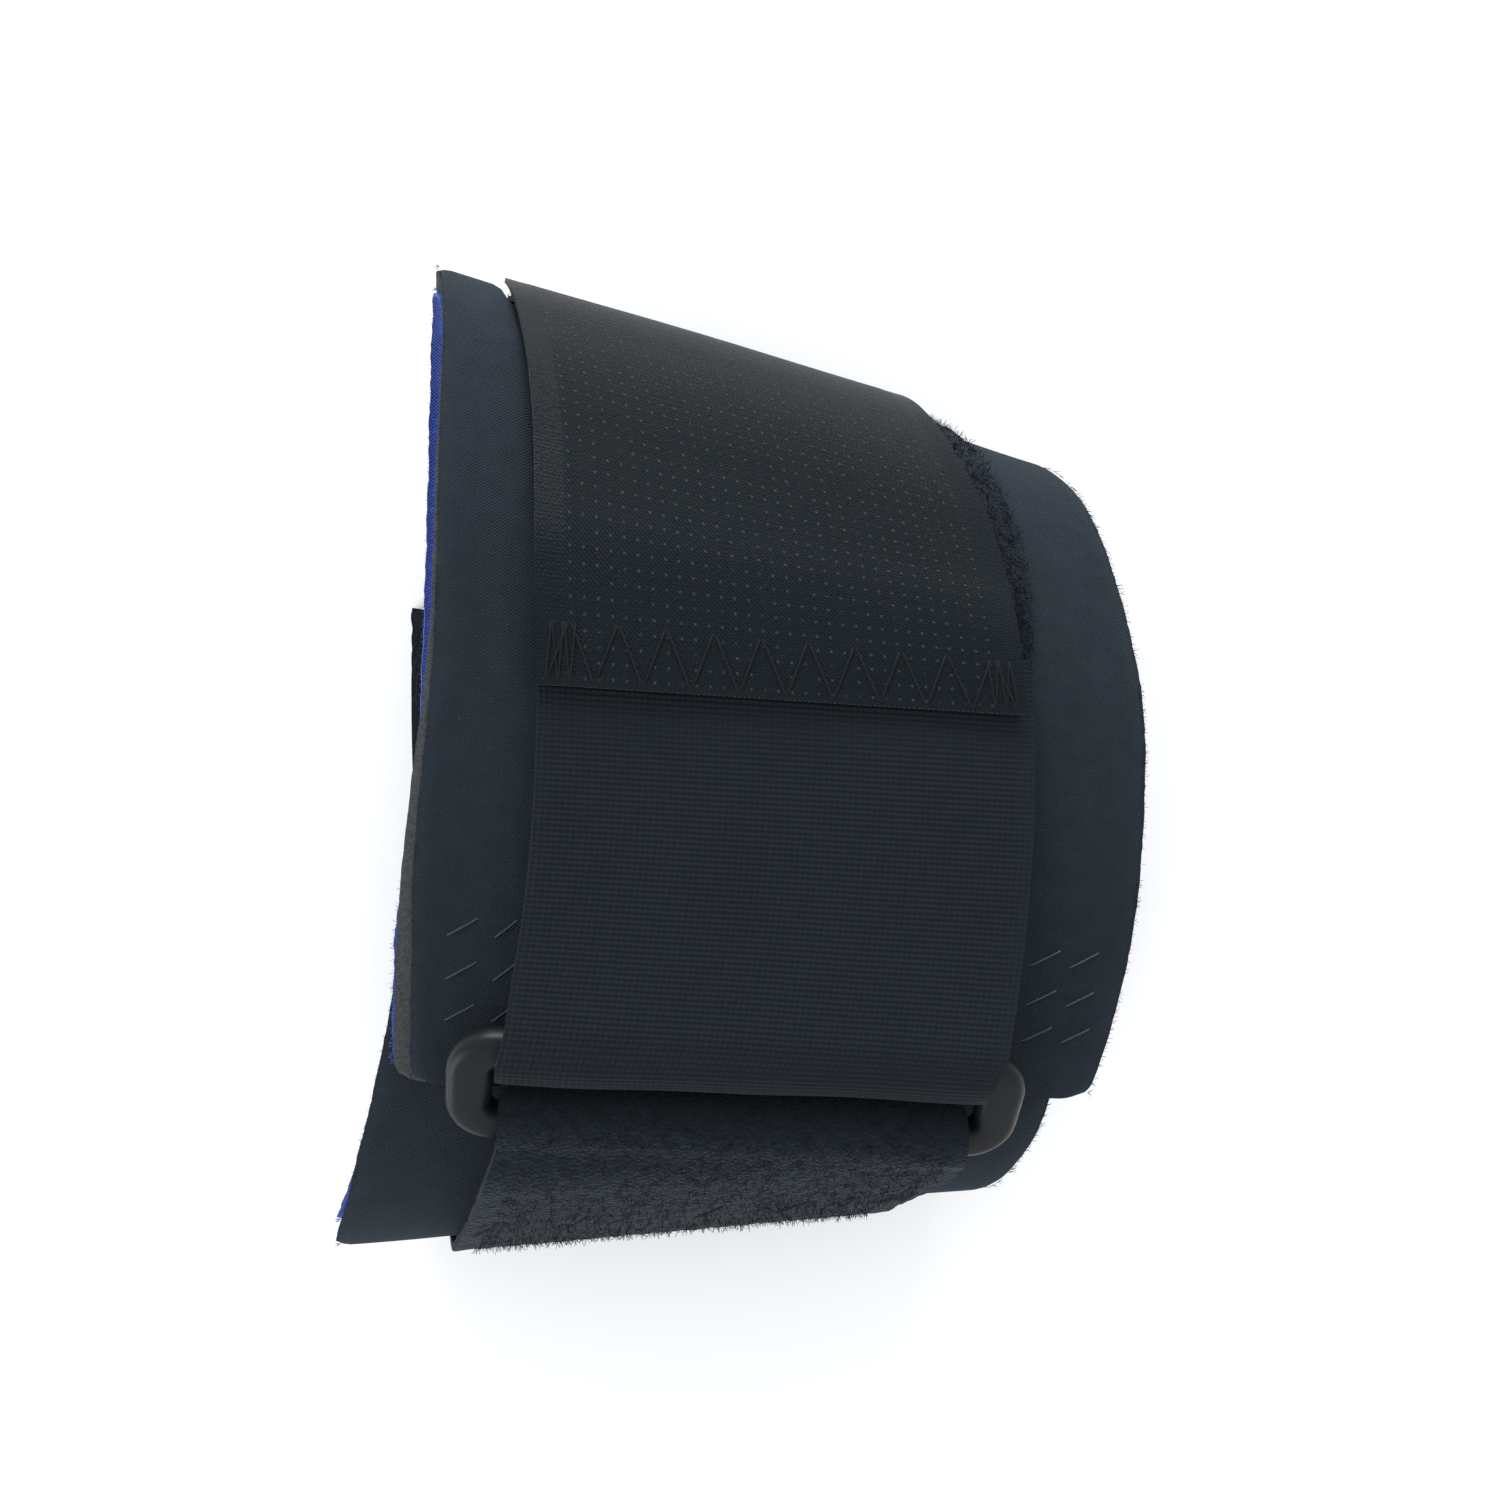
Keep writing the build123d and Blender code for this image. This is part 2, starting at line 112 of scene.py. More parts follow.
# Finer facts of the cloths: pitches across, then along
JERSEY_PITCHES, LINING_PITCHES = (0.42, 0.33), (0.5, 0.4)
RIB_PITCH, RIB_DEPTH, RIB_THREAD_PITCH = 0.56, 0.11, 0.62
TWILL_PITCH, WEFT_PITCH = 0.5, 0.36
TAPE_DOT_PITCHES, TAPE_FIELD_HALF_WIDTH = (1.35, 1.5), 21.3
HOOK_PITCHES = (1.25, 1.5)
TABLE_CLEARANCE = 0.02
SHEET_CELLS = (90, 460)

# Stitching: thread widths, and the rows' places, half heights and stroke counts
ZIGZAG_THREAD, ANCHOR_THREAD = 0.34, 0.2
TAPE_SEAM_TURN, TAPE_SEAM_HALF_HEIGHT = 347.3, 3.0
WEBBING_SEAM_TURN, WEBBING_SEAM_HALF_HEIGHT = 65, 2.8
SEAM_STROKES, PACKED_MARKS = 20, 6
ANCHOR_COLUMNS = [(-29.2, 1.8), (-24.9, 1.3), (31.2, 1.9), (35.4, 1.8)]
ANCHOR_TURNS, ANCHOR_STROKES = (374, 389), 6

CAMERA_HEIGHT, CAMERA_LENS, CAMERA_SENSOR = 0.1977, 36.1, 36


def linear(pair, x):
    return pair[0] + pair[1] * x


def at_turn(keys, turn):
    """The value at a turn, on a smooth line through (turn, value) keys."""
    keys = sorted(keys)
    turn = min(max(turn, keys[0][0]), keys[-1][0])
    last = max(i for i, key in enumerate(keys[:-1]) if key[0] <= turn)
    (t0, v0), (t1, v1) = keys[last], keys[last + 1]
    slope = (v1 - v0) / (t1 - t0)
    slope_in = slope if last == 0 else (v1 - keys[last - 1][1]) / (t1 - keys[last - 1][0])
    slope_out = slope if last + 2 == len(keys) else (keys[last + 2][1] - v0) / (keys[last + 2][0] - t0)
    s, span = (turn - t0) / (t1 - t0), t1 - t0
    return (
        v0 * (1 + 2 * s) * (1 - s) ** 2
        + v1 * (3 - 2 * s) * s**2
        + slope_in * span * s * (1 - s) ** 2
        - slope_out * span * (1 - s) * s**2
    )


def oval_height(cosine, x):
    if cosine >= 0:
        return linear(TOP_HEIGHT, x) * cosine
    return linear(BACK_HEIGHT, x) * cosine * (1 + BACK_SQUARENESS - BACK_SQUARENESS * cosine**2)


def outward(turn, x):
    """Unit normal of the cuff's section at a turn."""
    ahead, behind = (
        Vector((0, -linear(HALF_WIDTH, x) * sin(radians(t)), oval_height(cos(radians(t)), x)))
        for t in (turn + 0.5, turn - 0.5)
    )
    along = (ahead - behind).normalized()
    return Vector((0, along.z, -along.y))


def cuff_point(turn, x, lift=0.0):
    """A point lift millimetres outside the cuff's outline."""
    angle = radians(turn)
    y = linear(CENTRE_Y, x) - linear(HALF_WIDTH, x) * sin(angle)
    z = BACK_CLEARANCE + linear(BACK_HEIGHT, x) + oval_height(cos(angle), x)
    return Vector((x - MIDDLE_X, y - MIDDLE_Y, z)) + outward(turn, x) * lift


def overlap_lift(turn):
    share = min(max((turn - OVERLAP_LEAVES) / (OVERLAP_JOINS - OVERLAP_LEAVES), 0), 1)
    return -OVERLAP_DROP * (1 - share**2 * (3 - 2 * share))


def cinch(turn, x):
    """How far the strap presses its bed inwards. x is in the cuff's own millimetres."""
    share = np.interp(turn, *zip(*CINCH_TURNS)) * np.interp(x, *zip(*CINCH_X))
    return CINCH_DEPTH * share


# The ring's two bars
upper_bar = cuff_point(UPPER_BAR_TURN, RING_MIDDLE_X, UPPER_BAR_LIFT)
ring_ends = [
    cuff_point(UPPER_BAR_TURN + side * UPPER_BAR_SKEW / 2, side * RING_LENGTH / 2, UPPER_BAR_LIFT)
    for side in (-1, 1)
]
ring_along = (ring_ends[1] - ring_ends[0]).normalized()
ring_up = upper_bar - cuff_point(LOWER_BAR_TURN, RING_MIDDLE_X, LOWER_BAR_LIFT)
ring_up = (ring_up - ring_along * ring_up.dot(ring_along)).normalized()
ring_out = ring_along.cross(ring_up)
lower_bar = upper_bar - ring_up * BAR_SPACING


# ---------------------------------------------------------------------------------------------------
# Materials
class Wire:
    """One output of a finish's nodes. Arithmetic on it adds Math nodes."""

    def __init__(self, finish, socket):
        self.finish, self.socket = finish, socket

    def maths(self, operation, *values):
        return self.finish.node("Math", {"operation": operation}, dict(enumerate(values)))

    def __add__(self, other):
        return self.maths("ADD", self, other)

    def __radd__(self, other):
        return self.maths("ADD", other, self)

    def __sub__(self, other):
        return self.maths("SUBTRACT", self, other)

    def __rsub__(self, other):
        return self.maths("SUBTRACT", other, self)

    def __mul__(self, other):
        return self.maths("MULTIPLY", self, other)

    def __rmul__(self, other):
        return self.maths("MULTIPLY", other, self)

    def __truediv__(self, other):
        return self.maths("DIVIDE", self, other)

    def wave(self, pitch):
        """A sine of this distance that repeats each pitch."""
        return self.maths("SINE", self * (2 * pi / pitch))

    def fraction(self):
        return self.maths("FRACT", self)

    def away_from(self, middle):
        return self.maths("ABSOLUTE", self - middle)

    def ease(self, low, high):
        """0 at low, 1 at high, smooth between."""
        return self.finish.node("MapRange", {"interpolation_type": "SMOOTHSTEP"},
                                {"Value": self, "From Min": low, "From Max": high})


class Finish:
    """A material under construction."""

    def __init__(self, name):
        self.material = bpy.data.materials.new(name)
        self.material.use_nodes = True
        self.tree = self.material.node_tree
        self.tree.nodes.clear()

    def node(self, kind, settings, inputs, output=0):
        """One node: its settings are set first, then its inputs, as values or as wires."""
        made = self.tree.nodes.new("ShaderNode" + kind)
        for key, value in settings.items():
            setattr(made, key, value)
        for key, value in inputs.items():
            if isinstance(value, Wire):
                self.tree.links.new(value.socket, made.inputs[key])
            else:
                made.inputs[key].default_value = value
        return Wire(self, made.outputs[output]) if made.outputs else None

    def cloth_place(self):
        """Millimetres across and along a cloth, from its own UV map."""
        across = self.node("SeparateXYZ", {}, {0: self.node("UVMap", {"uv_map": "cloth"}, {})})
        return across, Wire(self, across.socket.node.outputs[1])

    def noise(self, scale, detail, on_cloth=False):
        """Noise by the metre over the piece, or by the millimetre over its cloth."""
        if on_cloth:
            place = self.node("UVMap", {"uv_map": "cloth"}, {})
        else:
            place = self.node("TexCoord", {}, {}, "Object")
        return self.node("TexNoise", {}, {"Vector": place, "Scale": scale, "Detail": detail})

    def mix(self, share, first, second):
        return self.node("Mix", {"data_type": "RGBA"}, {0: share, 6: first, 7: second}, 2)

    def bump(self, height, distance):
        return self.node("Bump", {}, {"Height": height, "Distance": distance * MM, "Strength": 1.0})

    def shade(self, **inputs):
        """Closes the material with one shader; names use _ for a space."""
        shader = self.node("BsdfPrincipled", {}, {k.replace("_", " "): v for k, v in inputs.items()})
        self.node("OutputMaterial", {}, {"Surface": shader})
        return self.material


def colour(red, green, blue):
    return (red, green, blue, 1)


def jersey_finish():
    f = Finish("black_jersey")
    across, along = f.cloth_place()
    stitches = across.wave(JERSEY_PITCHES[0]) * along.wave(JERSEY_PITCHES[1])
    mottle = f.noise(0.35, 3, on_cloth=True)
    lint = f.noise(2.4, 2, on_cloth=True).ease(0.66, 0.8)
    tint = f.mix(mottle, colour(0.0105, 0.0155, 0.0215), colour(0.018, 0.0255, 0.034))
    tint = f.mix(lint * 0.5, tint, colour(0.045, 0.055, 0.065))
    height = stitches * 0.35 + f.noise(5.0, 3, on_cloth=True)
    return f.shade(
        Base_Color=tint, Roughness=0.9, Sheen_Weight=0.07, Sheen_Roughness=0.4,
        Sheen_Tint=colour(0.7, 0.85, 1.0), Specular_IOR_Level=0.1, Normal=f.bump(height, 0.16),
    )


def foam_finish():
    f = Finish("foam_edge")
    cells = f.noise(2600, 2)
    tint = f.mix(cells, colour(0.018, 0.020, 0.022), colour(0.068, 0.072, 0.076))
    return f.shade(Base_Color=tint, Roughness=0.95, Specular_IOR_Level=0.1, Normal=f.bump(cells, 0.25))


def lining_finish():
    f = Finish("blue_lining")
    across, along = f.cloth_place()
    stitches = across.wave(LINING_PITCHES[0]) * along.wave(LINING_PITCHES[1])
    tint = f.mix(f.noise(0.5, 2, on_cloth=True), colour(0.03, 0.06, 0.28), colour(0.07, 0.12, 0.44))
    return f.shade(
        Base_Color=tint, Roughness=0.85, Sheen_Weight=0.1, Specular_IOR_Level=0.1,
        Normal=f.bump(stitches, 0.12),
    )


def elastic_finish():
    f = Finish("elastic_ribs")
    across, along = f.cloth_place()
    lengthwise = across.wave(RIB_THREAD_PITCH)
    rib = along.wave(RIB_PITCH)
    grain = f.noise(2.6, 3, on_cloth=True)
    faded = f.noise(0.12, 2, on_cloth=True)
    tint = f.mix(rib * 0.12 + grain * 0.55 + faded * 0.3, colour(0.0045, 0.0072, 0.0108),
                 colour(0.0102, 0.015, 0.0202))
    return f.shade(
        Base_Color=tint, Roughness=0.8, Sheen_Weight=0.03, Sheen_Roughness=0.4,
        Specular_IOR_Level=0.14, Normal=f.bump(lengthwise * 0.5 + grain, 0.08),
    )


def tape_finish():
    f = Finish("hook_tape_weave")
    across, along = f.cloth_place()
    twill = (across + along).wave(TWILL_PITCH)
    weft = along.wave(WEFT_PITCH)
    middle = ELASTIC_HALF_WIDTH - TAPE_NARROWER / 2
    field = 1 - across.away_from(middle).ease(TAPE_FIELD_HALF_WIDTH, TAPE_FIELD_HALF_WIDTH + 0.5)
    column = (across / TAPE_DOT_PITCHES[0]).fraction().away_from(0.5)
    row = (along / TAPE_DOT_PITCHES[1]).fraction().away_from(0.5)
    dot = (1 - column.ease(0.06, 0.15)) * (1 - row.ease(0.05, 0.14)) * field
    missing = f.noise(0.7, 1, on_cloth=True).ease(0.3, 0.52)
    grain = f.noise(3.2, 3, on_cloth=True)
    tint = f.mix(grain, colour(0.0035, 0.0062, 0.0085), colour(0.0085, 0.0125, 0.0158))
    tint = f.mix(dot * missing * 0.6, tint, colour(0.042, 0.050, 0.057))
    height = twill * (0.15 + 0.35 * field) + weft * 0.1 + dot * missing * 1.5 + grain * 1.6
    return f.shade(
        Base_Color=tint, Roughness=0.44, Sheen_Weight=0.13, Sheen_Roughness=0.25,
        Specular_IOR_Level=0.05, Normal=f.bump(height, 0.08),
    )


def pile_finish():
    f = Finish("brushed_pile")
    tint = f.mix(f.noise(900, 3), colour(0.0045, 0.007, 0.010), colour(0.0145, 0.020, 0.026))
    return f.shade(Base_Color=tint, Roughness=0.95, Sheen_Weight=0.1, Specular_IOR_Level=0.06,
                   Sheen_Tint=colour(0.8, 0.9, 1.0), Normal=f.bump(f.noise(2500, 2), 0.4))


def plain_finish(name, tint, roughness, **more):
    return Finish(name).shade(Base_Color=tint, Roughness=roughness, **more)


def ring_finish():
    f = Finish("ring_plastic")
    return f.shade(
        Base_Color=colour(0.0062, 0.0078, 0.0094), Roughness=0.3 + 0.14 * f.noise(400, 2),
        Specular_IOR_Level=0.17, Normal=f.bump(f.noise(3000, 2), 0.012),
    )


jersey = jersey_finish()
foam_edge = foam_finish()
blue_lining = lining_finish()
elastic_ribs = elastic_finish()
tape_weave = tape_finish()
brushed_pile = pile_finish()
ring_plastic = ring_finish()
black_fibre = plain_finish("black_fibre", colour(0.010, 0.014, 0.019), 0.8, Specular_IOR_Level=0.12)
blue_fibre = plain_finish("blue_fibre", colour(0.07, 0.13, 0.48), 0.8, Specular_IOR_Level=0.1)
hook_nylon = plain_finish("hook_nylon", colour(0.012, 0.015, 0.018), 0.4)
tape_thread = plain_finish("tape_thread", colour(0.0055, 0.008, 0.0105), 0.5, Specular_IOR_Level=0.12)
body_thread = plain_finish("body_thread", colour(0.034, 0.042, 0.05), 0.4, Specular_IOR_Level=0.35)


# ---------------------------------------------------------------------------------------------------
# Modelling
def deselect():
    bpy.ops.object.select_all(action="DESELECT")


def choose(piece):
    deselect()
    piece.select_set(True)
    bpy.context.view_layer.objects.active = piece


def name_piece(name, material):
    """Names the object just made and gives it its one material."""
    piece = bpy.context.object
    piece.name = piece.data.name = name
    piece.data.materials.clear()
    piece.data.materials.append(material)
    return piece


def finish_modifier(piece, kind, **settings):
    bpy.context.view_layer.objects.active = piece
    modifier = piece.modifiers.new(kind.lower(), kind)
    for key, value in settings.items():
        setattr(modifier, key, value)
    bpy.ops.object.modifier_apply(modifier=modifier.name)


def on_cuff(turn, left_keys, right_keys, lift, skew_keys=None, margins=(0, 0), bedded=False):
    """A cross line of a strip on the cuff: its left end, right end and outward direction.

    A bedded strip sinks with the strap's bed.
    """
    right_turn = turn - (at_turn(skew_keys, turn) if skew_keys else 0)
    left_x, right_x = at_turn(left_keys, turn) + margins[0], at_turn(right_keys, right_turn) - margins[1]
    sink = (cinch(turn, left_x), cinch(right_turn, right_x)) if bedded else (0, 0)
    left = cuff_point(turn, left_x, lift(turn) - sink[0])
    right = cuff_point(right_turn, right_x, lift(right_turn) - sink[1])
    return left, right, outward((turn + right_turn) / 2, (left.x + right.x) / 2)


def round_bar(bar, angle, radius, half_width):
    """A cross line of a strip that goes round one of the ring's bars."""
    away = ring_up * cos(radians(angle)) + ring_out * sin(radians(angle))
    middle = bar + away * radius
    return middle - ring_along * half_width, middle + ring_along * half_width, away


class Run:
    """The course of a strip of cloth: smooth through its cross lines."""

    def __init__(self, lines, turns=()):
        self.turns = list(turns)
        self.left = np.array([line[0] for line in lines])
        self.right = np.array([line[1] for line in lines])
        self.out = np.array([line[2] for line in lines])
        middle = (self.left + self.right) / 2
        steps = np.linalg.norm(np.diff(middle, axis=0), axis=1)
        self.places = np.concatenate([[0], np.cumsum(steps)])
        self.length = self.places[-1]
        self.width = float(np.mean(np.linalg.norm(self.right - self.left, axis=1)))

    def place_of(self, turn):
        """Distance along at a turn, for the lines that turns were given for."""
        return float(np.interp(-turn, [-t for t in self.turns], self.places[: len(self.turns)]))

    def smooth(self, values, place):
        """Cubic through the values, with slopes taken from their neighbours."""
        slopes = np.gradient(values, self.places, axis=0)
        i = np.clip(np.searchsorted(self.places, place, "right") - 1, 0, len(self.places) - 2)
        span = (self.places[i + 1] - self.places[i])[:, None]
        s = ((place - self.places[i]) / span[:, 0])[:, None]
        return (
            values[i] * (1 + 2 * s) * (1 - s) ** 2
            + values[i + 1] * (3 - 2 * s) * s**2
            + slopes[i] * span * s * (1 - s) ** 2
            - slopes[i + 1] * span * (1 - s) * s**2
        )

    def points(self, share, place, lift):
        """Points at a share of the width and a distance along, lifted outwards."""
        left, right = self.smooth(self.left, place), self.smooth(self.right, place)
        out = self.smooth(self.out, place)
        out /= np.linalg.norm(out, axis=1)[:, None]
        return left + (right - left) * share[:, None] + out * lift[:, None]

    def frame_at(self, share, place):
        """Points, directions across, along and out, for what is set on the cloth."""
        zero = np.zeros_like(share)
        here = self.points(share, place, zero)
        ahead = self.points(share, np.minimum(place + 0.2, self.length), zero)
        behind = self.points(share, np.maximum(place - 0.2, 0), zero)
        along = ahead - behind
        along /= np.linalg.norm(along, axis=1)[:, None]
        across = self.smooth(self.right, place) - self.smooth(self.left, place)
        across /= np.linalg.norm(across, axis=1)[:, None]
        out = np.cross(across, along)
        return here, across, along, out / np.linalg.norm(out, axis=1)[:, None]


def cloth(name, run, material, thickness, cells, relief=None, edge=None, rounding=0.0):
    """A strip of cloth: a grid laid along its run, given relief and thickness inwards.

    relief(across mm, along mm) lifts the surface; edge(share, along mm) moves points across.
    """
    deselect()
    bpy.ops.mesh.primitive_grid_add(x_subdivisions=cells[0], y_subdivisions=cells[1], size=1)
    piece = name_piece(name, material)
    mesh = piece.data
    flat = np.zeros(len(mesh.vertices) * 3)
    mesh.vertices.foreach_get("co", flat)
    flat = flat.reshape(-1, 3)
    share, place = flat[:, 0] + 0.5, (flat[:, 1] + 0.5) * run.length
    across = share * run.width
    lift = relief(across, place) if relief else np.zeros_like(share)
    moved = share + (edge(share, place) / run.width if edge else 0)
    points = run.points(moved, place, lift)
    points[:, 2] = np.maximum(points[:, 2], TABLE_CLEARANCE)
    mesh.vertices.foreach_set("co", (points * MM).ravel())
    while mesh.uv_layers:
        mesh.uv_layers.remove(mesh.uv_layers[0])
    corners = np.zeros(len(mesh.loops), int)
    mesh.loops.foreach_get("vertex_index", corners)
    layer = mesh.uv_layers.new(name="cloth")
    layer.data.foreach_set("uv", np.c_[across, place][corners].ravel())
    mesh.update()
    finish_modifier(piece, "SOLIDIFY", thickness=thickness * MM, offset=-1.0, use_even_offset=False)
    if rounding:
        finish_modifier(piece, "BEVEL", width=rounding * MM, segments=2, limit_method="ANGLE",
                        angle_limit=radians(50))
    smooth(piece)
    return piece


def smooth(piece, angle=50):
    choose(piece)
    bpy.ops.object.shade_smooth_by_angle(angle=radians(angle))


def placings(first, second, third, origin):
    """A 4 x 4 matrix for each row of three axes and an origin, which are in millimetres."""
    matrices = np.zeros((len(origin), 4, 4))
    for column, values in enumerate((first, second, third, origin)):
        matrices[:, :3, column] = values * MM
    matrices[:, 3, 3] = 1
    return matrices


def copies(name, template, matrices, material):
    """One piece holding a copy of a template at each matrix; the template is used up."""
    source = template.data
    corner = np.zeros(len(source.vertices) * 3)
    source.vertices.foreach_get("co", corner)
    corner = np.c_[corner.reshape(-1, 3), np.ones(len(source.vertices))]
    faces = [tuple(p.vertices) for p in source.polygons]
    points = np.einsum("nij,vj->nvi", matrices[:, :3, :], corner).reshape(-1, 3)
    points[:, 2] = np.maximum(points[:, 2], TABLE_CLEARANCE * MM)
    count = len(source.vertices)
    made = bpy.data.meshes.new(name)
    shifts = range(0, len(points), count)
    made.from_pydata(points, [], [tuple(v + shift for v in f) for shift in shifts for f in faces])
    made.polygons.foreach_set("use_smooth", np.ones(len(made.polygons), bool))
    bpy.data.objects.remove(template)
    piece = bpy.data.objects.new(name, made)
    bpy.context.collection.objects.link(piece)
    made.materials.append(material)
    return piece


def fibre_template():
    """A fine curved fibre, 1 mm tall, from a three-sided cone cut twice across and bowed."""
    deselect()
    bpy.ops.mesh.primitive_cone_add(vertices=3, radius1=0.055, radius2=0.03, depth=1, location=(0, 0, 0.5))
    piece = bpy.context.object
    bpy.ops.object.mode_set(mode="EDIT")
    for level in (0.35, 0.7):
        bpy.ops.mesh.select_all(action="SELECT")
        bpy.ops.mesh.bisect(plane_co=(0, 0, level), plane_no=(0, 0, 1))
    bpy.ops.object.mode_set(mode="OBJECT")
    bpy.ops.object.transform_apply(location=True, rotation=True, scale=True)
    for vertex in piece.data.vertices:
        vertex.co.x += 0.45 * vertex.co.z**2
    return piece


def fibres(name, run, shares, places, lengths, lifts, lean, seed, material):
    """Curved fibres standing on a cloth, each leaning its own way. lean holds (across, along, out)."""
    dice = np.random.default_rng(seed)
    here, across, along, out = run.frame_at(np.clip(shares, 0, 1), places)
    here = here + across * ((shares - np.clip(shares, 0, 1)) * run.width)[:, None] + out * lifts[:, None]
    tilt = dice.normal(0, 0.5, (len(shares), 2))
    axis = out * lean[:, 2:3] + across * (lean[:, 0:1] + tilt[:, :1]) + along * (lean[:, 1:2] + tilt[:, 1:])
    axis /= np.linalg.norm(axis, axis=1)[:, None]
    side = np.cross(axis, dice.normal(0, 1, (len(shares), 3)))
    side /= np.linalg.norm(side, axis=1)[:, None]
    third = np.cross(axis, side)
    length, thickness = lengths[:, None], np.clip(lengths, 0.5, 1.0)[:, None]
    matrices = placings(side * length, third * thickness, axis * length, here)
    return copies(name, fibre_template(), matrices, material)


def threads(name, courses, radius, material):
    """Sewing thread: each course is a row of points in millimetres that the thread follows."""
    curve = bpy.data.curves.new(name, "CURVE")
    curve.dimensions = "3D"
    curve.bevel_depth = radius * MM
    curve.bevel_resolution = 2
    curve.use_fill_caps = True
    for course in courses:
        spline = curve.splines.new("POLY")
        spline.points.add(len(course) - 1)
        for point, place in zip(spline.points, course):
            point.co = (*(place * MM), 1)
    piece = bpy.data.objects.new(name, curve)
    bpy.context.collection.objects.link(piece)
    choose(piece)
    bpy.ops.object.convert(target="MESH")
    piece = name_piece(name, material)
    smooth(piece, 60)
    return piece


def stroke(start, end, out, rise):
    """One stitch: a thread that comes up from the cloth, lies across it and goes down again."""
    bend, buried = 0.16, 0.25
    steps = np.linspace(0, 1, 7)
    arch = np.minimum(1, np.minimum(steps, 1 - steps) / bend)
    return [start.lerp(end, s) + out * (rise * a - buried * (1 - a)) for s, a in zip(steps, arch)]


def hook_template():
    """One moulded hook: a short stem whose top curls over, from a cube extruded and turned."""
    stem = 0.28
    deselect()
    bpy.ops.mesh.primitive_cube_add(size=1)
    piece = bpy.context.object
    bpy.ops.transform.resize(value=(0.17, 0.26, stem))
    bpy.ops.transform.translate(value=(0, 0, stem / 2))
    bpy.ops.object.transform_apply(location=True, rotation=True, scale=True)
    bpy.ops.object.mode_set(mode="EDIT")
    bpy.ops.mesh.select_all(action="DESELECT")
    bpy.ops.object.mode_set(mode="OBJECT")
    for face in piece.data.polygons:
        face.select = face.normal.z > 0.9
    bpy.ops.object.mode_set(mode="EDIT")
    bpy.ops.mesh.select_mode(type="FACE")
    centre, lean = Vector((0, 0, stem)), 0.0
    for step, turn in ((0.12, 40), (0.13, 55), (0.14, 50)):
        lean += radians(turn)
        move = Vector((sin(lean - radians(turn) / 2), 0, cos(lean - radians(turn) / 2))) * step
        centre += move
        bpy.ops.mesh.extrude_region_move(TRANSFORM_OT_translate={"value": move})
        bpy.ops.transform.rotate(value=-radians(turn), orient_axis="Y", center_override=centre)
        bpy.ops.transform.resize(value=(0.86, 0.9, 0.86), center_override=centre)
    bpy.ops.object.mode_set(mode="OBJECT")
    return piece


def hooks(name, run, shares, places, lift, height):
    """Hooks hanging from the tape's underside, every other row curling the other way."""
    here, _, along, out = run.frame_at(shares, places)
    way = np.where((np.arange(len(shares)) % 2)[:, None] == 0, along, -along)
    matrices = placings(way, np.cross(-out, way), -out * height, here + out * lift)
    return copies(name, hook_template(), matrices, hook_nylon)


# ---------------------------------------------------------------------------------------------------
# Neoprene sheet
def sheet_run(depth):
    turns = np.concatenate([[SHEET_END], np.arange(390, SHEET_START + 4, -7.5), [SHEET_START]])
    return Run([on_cuff(t, SHEET_LEFT, SHEET_RIGHT, lambda turn: overlap_lift(turn) - depth, SHEET_SKEW)
                for t in turns], turns)


def sheet_relief(run):
    left_x, right_x = (np.array(side)[:, 0] + MIDDLE_X for side in (run.left, run.right))
    turns = np.array(run.turns)

    def relief(across, along):
        """Soft unevenness of a worn cuff, and the bed that the strap has pressed into it."""
        waves = (
            0.10 * np.sin(along / 9.0 + across / 21.0)
            + 0.07 * np.sin(along / 4.1 - across / 13.0 + 1.3)
            + 0.05 * np.sin(across / 3.7 + along / 17.0)
        )
        turn = np.interp(along, run.places, turns)
        low, high = np.interp(along, run.places, left_x), np.interp(along, run.places, right_x)
        x = low + (high - low) * across / run.width
        inside = np.interp(x - np.interp(turn, *zip(*sorted(STRAP_LEFT))), *zip(*CINCH_EDGE))
        rim = np.clip(1 - np.minimum(across, run.width - across) / 1.8, 0, 1) ** 2
        return waves - 0.12 - cinch(turn, x) * inside - 0.5 * rim
    return relief


def corner_rounding(radius):
    def edge(share, along):
        """Pulls the sides in where the outer end's corners are rounded."""
        near = np.clip(1 - along / radius, 0, 1)
        return (0.5 - share) * 2 * radius * (1 - np.sqrt(1 - near**2)) * 0.8
    return edge


def frayed(extra, amplitude, seed):
    """Lets the edges run a little out and waver, as cut laminate does.

    extra holds (mm along, mm out) for the left edge, which leans out beside the strap's start.
    """
    rounding = corner_rounding(2.2)
    phases = np.random.default_rng(seed).uniform(0, 2 * pi, 8)
    margins = 18  # each edge moves the nearest eighteenth of the width

    def edge(share, along):
        waver = sum(np.sin(along * (0.7 + 0.9 * i) + phases[i]) / (1 + 0.5 * i) for i in range(8)) / 3
        left = -(np.interp(along, *zip(*extra)) + amplitude * waver) * np.clip(1 - share * margins, 0, 1)
        right = (0.05 + amplitude * waver[::-1]) * np.clip(1 - (1 - share) * margins, 0, 1)
        return left + right + rounding(share, along)
    return edge


def sheet_layer(name, run, material, thickness, edges, rounding=0.0):
    return cloth(name, run, material, thickness, SHEET_CELLS, sheet_relief(run), edges, rounding)


